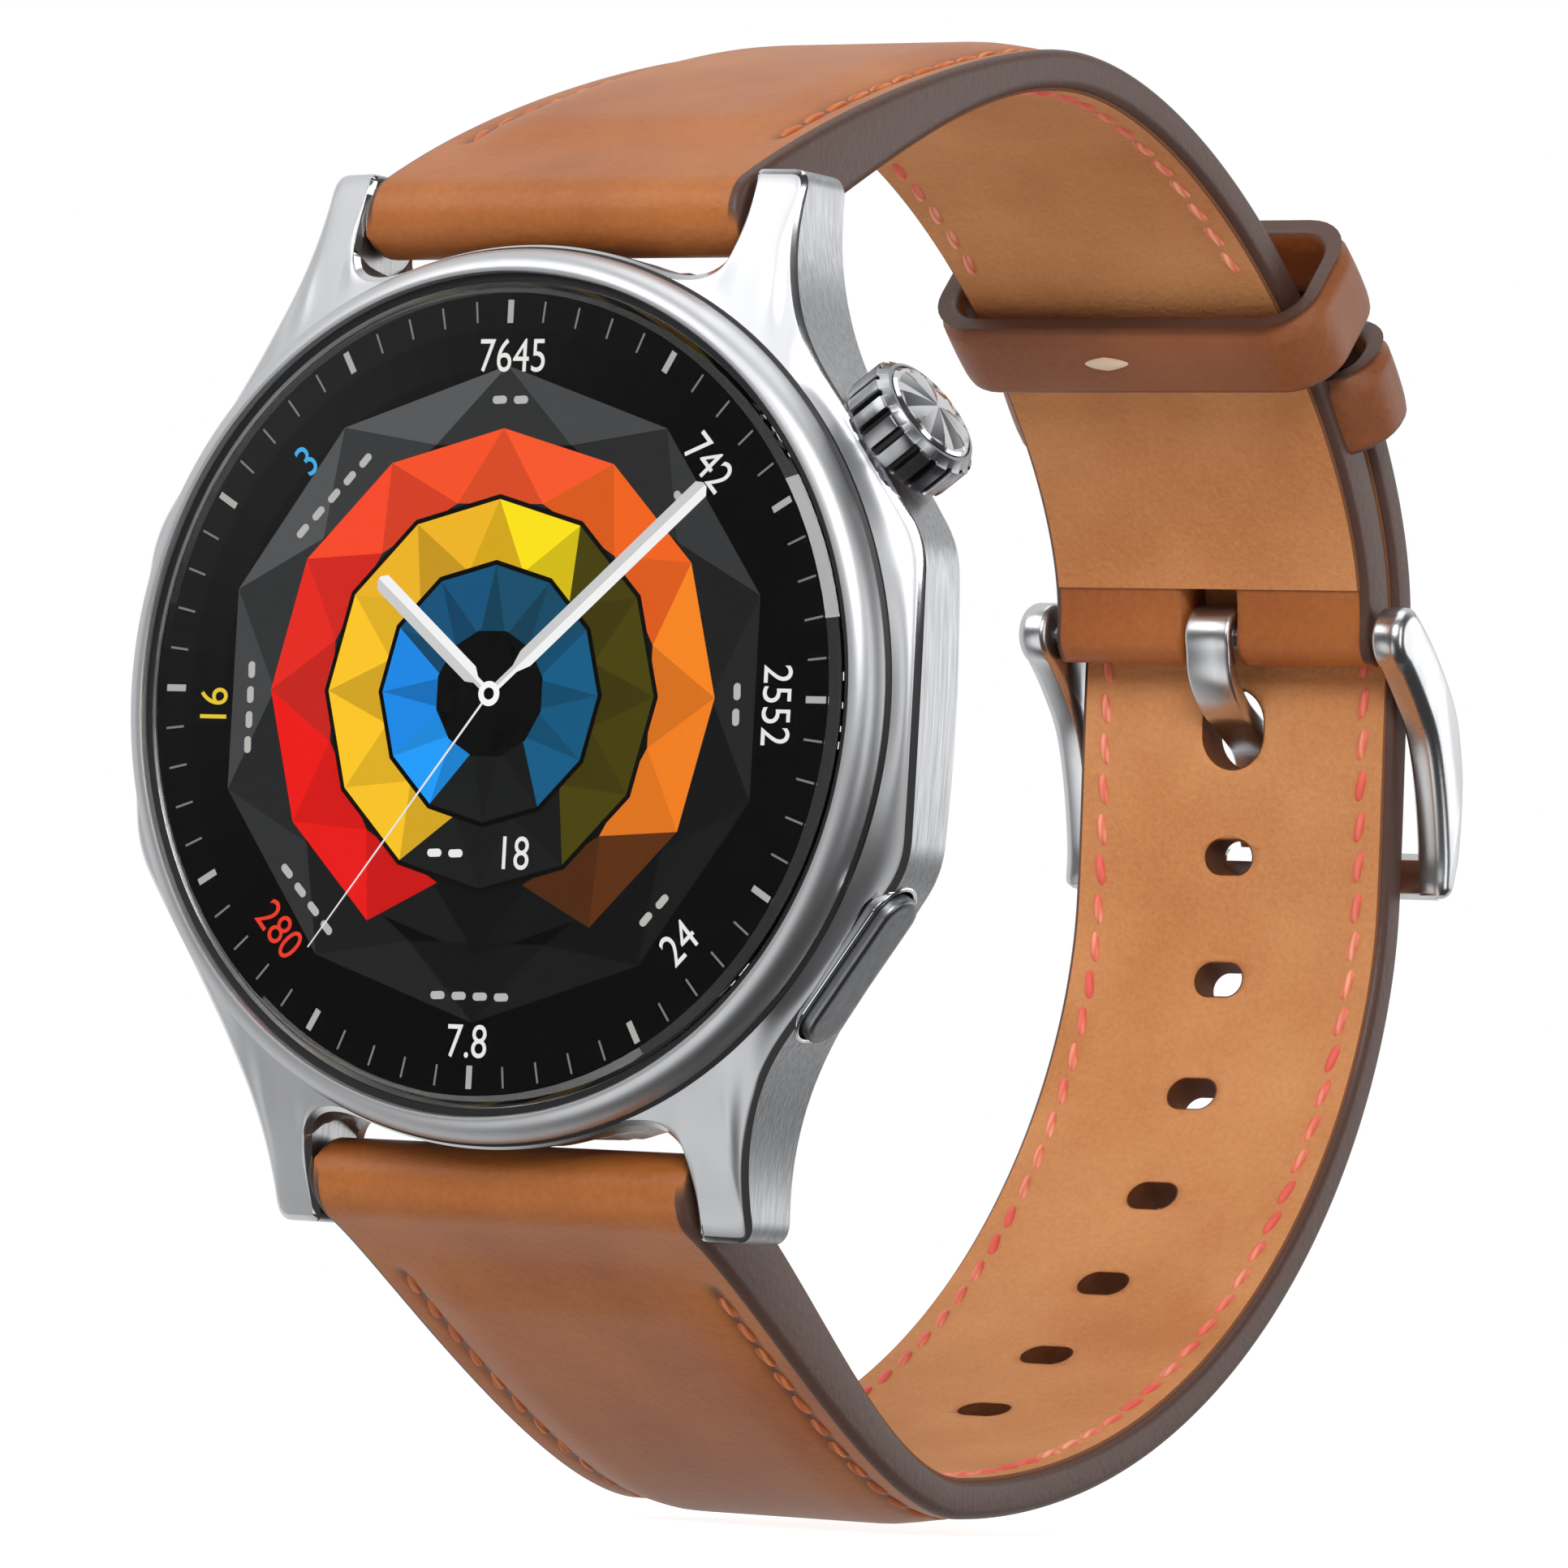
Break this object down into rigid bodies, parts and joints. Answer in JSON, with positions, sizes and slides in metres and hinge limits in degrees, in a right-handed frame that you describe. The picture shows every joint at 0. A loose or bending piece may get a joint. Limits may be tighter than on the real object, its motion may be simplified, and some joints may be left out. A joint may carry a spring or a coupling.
{
  "type": "smartwatch",
  "caption": "Round smartwatch with a steel case, flat glass display, turning crown, side button and stitched leather strap closed in a loop by a tongue buckle with keepers.",
  "frame": {"origin": "centre of the sensor window's flat outer face, which rests on the wrist", "axes": "+Z towards 12 o'clock, +X towards the crown and button side, +Y from the display through the case to the wrist and buckle"},
  "size_m": [0.0469, 0.0792, 0.0768],
  "materials": {
    "satin_steel": "satin, with brushed side bands and polished edge lines",
    "polished_steel": "polished",
    "dark_steel": "satin grey",
    "cover_glass": "clear glass over a black display, polished",
    "display": "black emissive display panel",
    "black_plastic": "fine matt",
    "sensor_glass": "polished black",
    "black_rubber": "matt",
    "circuit_board": "green solder mask",
    "battery_foil": "foil",
    "copper_winding": "enamelled copper",
    "brass_clip": "turned",
    "outer_leather": "tan brown, semi-gloss, fine grain, darker in the folds",
    "lining_leather": "light tan, matt, fine grain",
    "keeper_leather": "tan brown with dark painted edges",
    "cream_thread": "waxed thread"
  },
  "bodies": {
    "case": {"mid_case": "satin_steel", "bezel_ring": "polished_steel", "cover_glass": "cover_glass", "glass_gasket": "black_rubber", "display_panel": "display", "carrier_plate": "black_plastic", "display_cable": "copper_winding", "main_board": "circuit_board", "processor_shield": "dark_steel", "radio_shield": "dark_steel", "battery": "battery_foil", "haptic_motor": "dark_steel", "speaker": "black_plastic", "microphone": "dark_steel", "rear_cover": "black_plastic", "rear_gasket": "black_rubber", "sensor_window": "sensor_glass", "sensor_board": "circuit_board", "charging_coil": "copper_winding", "coil_ferrite": "black_plastic", "rear_screw_1": "dark_steel", "rear_screw_2": "dark_steel", "rear_screw_3": "dark_steel", "rear_screw_4": "dark_steel", "crown_tube": "satin_steel", "crown_seal": "black_rubber", "crown_encoder": "black_plastic", "button_seal": "black_rubber", "button_switch": "black_plastic", "upper_bar_tube": "dark_steel", "upper_bar_pin_right": "satin_steel", "upper_bar_pin_left": "satin_steel", "lower_bar_tube": "dark_steel", "lower_bar_pin_right": "satin_steel", "lower_bar_pin_left": "satin_steel"},
    "crown_axle": {"crown_clip": "brass_clip"},
    "crown": {"crown_wheel": "dark_steel", "crown_cap": "polished_steel", "crown_stem": "satin_steel"},
    "side_button": {"button_cap": "satin_steel", "button_stem": "satin_steel"},
    "upper_strap": {"upper_strap_leather": "outer_leather", "upper_strap_lining": "lining_leather"},
    "buckle_end": {"upper_end_leather": "outer_leather", "upper_end_lining": "lining_leather", "fixed_keeper": "keeper_leather", "buckle_bar": "satin_steel"},
    "buckle": {"buckle_frame": "polished_steel"},
    "tongue": {"buckle_tongue": "polished_steel"},
    "loose_keeper": {"free_keeper": "keeper_leather", "keeper_staple": "cream_thread"},
    "lower_strap": {"lower_strap_leather": "outer_leather", "lower_strap_lining": "lining_leather"},
    "strap_tail": {"tail_leather": "outer_leather", "tail_lining": "lining_leather"}
  },
  "joints": [
    {"name": "crown_press", "type": "slide", "parent": "case", "child": "crown_axle", "axis": [-0.8096, 0, -0.587], "range_m": [0, 0.00035], "stiffness_N_per_m": 900, "springref_m": -0.0006},
    {"name": "crown_turn", "type": "hinge", "parent": "crown_axle", "child": "crown", "pos_m": [0.0195, -0.007, 0.0126], "axis": [0.8096, 0, 0.587], "continuous": true},
    {"name": "button_press", "type": "slide", "parent": "case", "child": "side_button", "axis": [-0.8096, 0, 0.587], "range_m": [0, 0.0003], "stiffness_N_per_m": 900, "springref_m": -0.0006},
    {"name": "upper_strap_swing", "type": "hinge", "parent": "case", "child": "upper_strap", "pos_m": [0, -0.0063, 0.0241], "axis": [1, 0, 0], "range_deg": [-8, 8]},
    {"name": "lower_strap_swing", "type": "hinge", "parent": "case", "child": "lower_strap", "pos_m": [0, -0.0063, -0.0241], "axis": [1, 0, 0], "range_deg": [-8, 8]},
    {"name": "upper_strap_bend", "type": "hinge", "parent": "upper_strap", "child": "buckle_end", "pos_m": [0, 0.04477, 0.02924], "axis": [1, 0, 0], "range_deg": [-7, 7]},
    {"name": "lower_strap_bend", "type": "hinge", "parent": "lower_strap", "child": "strap_tail", "pos_m": [0, 0.04936, -0.03034], "axis": [1, 0, 0], "range_deg": [-6.5, 6.5]},
    {"name": "buckle_swing", "type": "hinge", "parent": "buckle_end", "child": "buckle", "pos_m": [0, 0.0607, 0.0086], "axis": [1, 0, 0], "range_deg": [0, 95]},
    {"name": "tongue_play", "type": "hinge", "parent": "buckle_end", "child": "tongue", "pos_m": [0, 0.0607, 0.0086], "axis": [1, 0, 0], "range_deg": [-2, 2]},
    {"name": "keeper_slide", "type": "hinge", "parent": "buckle_end", "child": "loose_keeper", "pos_m": [0, 0.0199, -0.0107], "axis": [1, 0, 0], "range_deg": [0, 4.5]}
  ],
  "couplings": [
    {"joint": "lower_strap_swing", "follows": "upper_strap_swing", "ratio": 0.93272},
    {"joint": "upper_strap_bend", "follows": "upper_strap_swing", "ratio": -0.81602},
    {"joint": "lower_strap_bend", "follows": "upper_strap_swing", "ratio": -0.74874}
  ]
}
